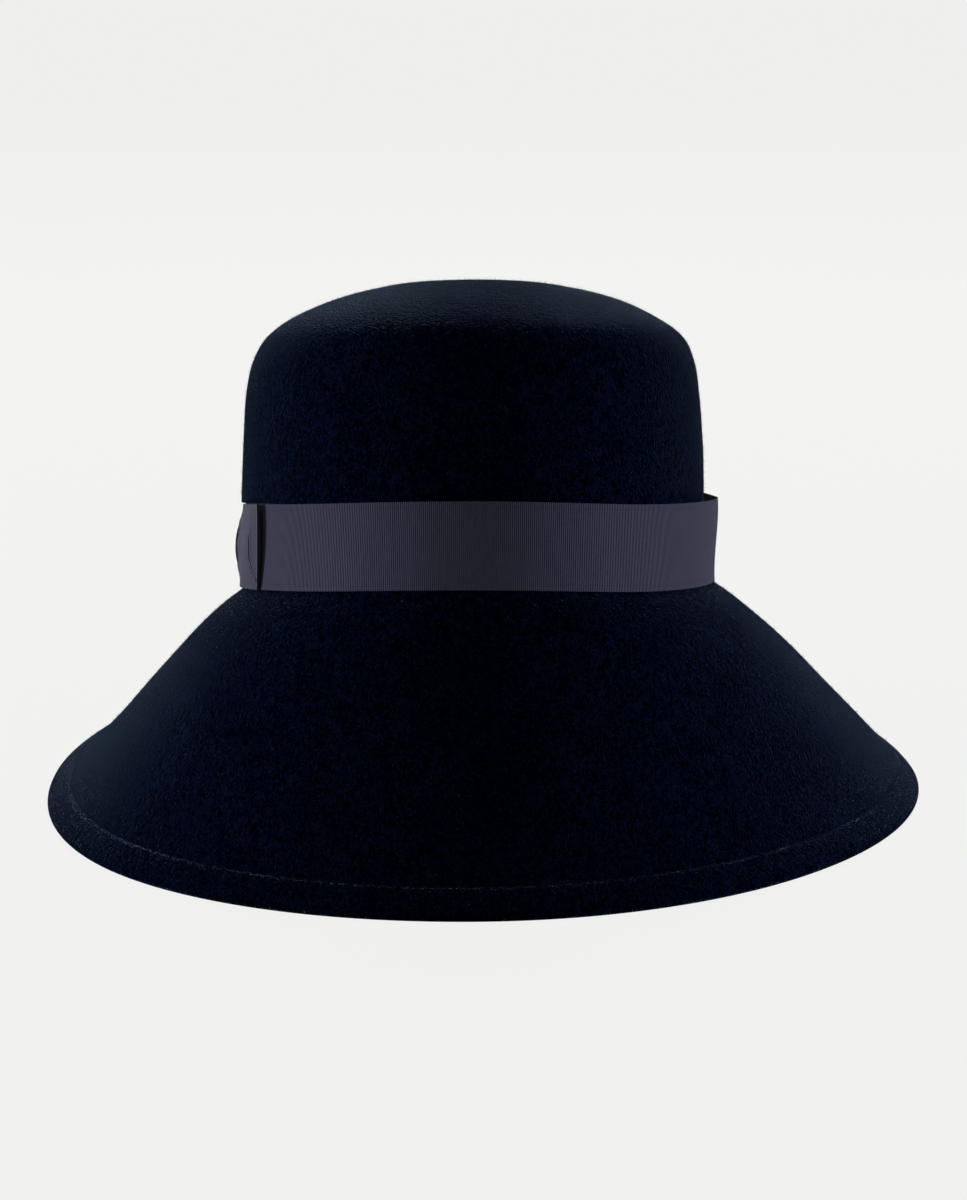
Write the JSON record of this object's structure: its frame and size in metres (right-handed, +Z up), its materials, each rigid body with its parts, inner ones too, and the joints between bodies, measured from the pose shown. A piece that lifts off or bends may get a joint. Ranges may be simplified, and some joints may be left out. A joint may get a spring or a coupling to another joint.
{
  "type": "wide-brim felt hat",
  "caption": "Round-crown felt hat with a wide, down-turned brim sewn at its edge, a grosgrain ribbon round the foot of the crown and a flat ribbon bow on one side",
  "frame": {"origin": "Middle of the hat's box, on the plane the brim's edge rests on", "axes": "+Z is up out of the crown, -Y is the front of the hat, -X is the side with the bow, which is the wearer's right"},
  "size_m": [0.3272, 0.3316, 0.1939],
  "materials": {
    "felt": "matt navy-black wool felt",
    "ribbon": "dull grey-violet grosgrain with fine upright ribs"
  },
  "bodies": {
    "root": {"felt_body": "felt", "ribbon_band": "ribbon", "bow_ring": "ribbon", "bow_keeper": "ribbon"}
  },
  "joints": []
}
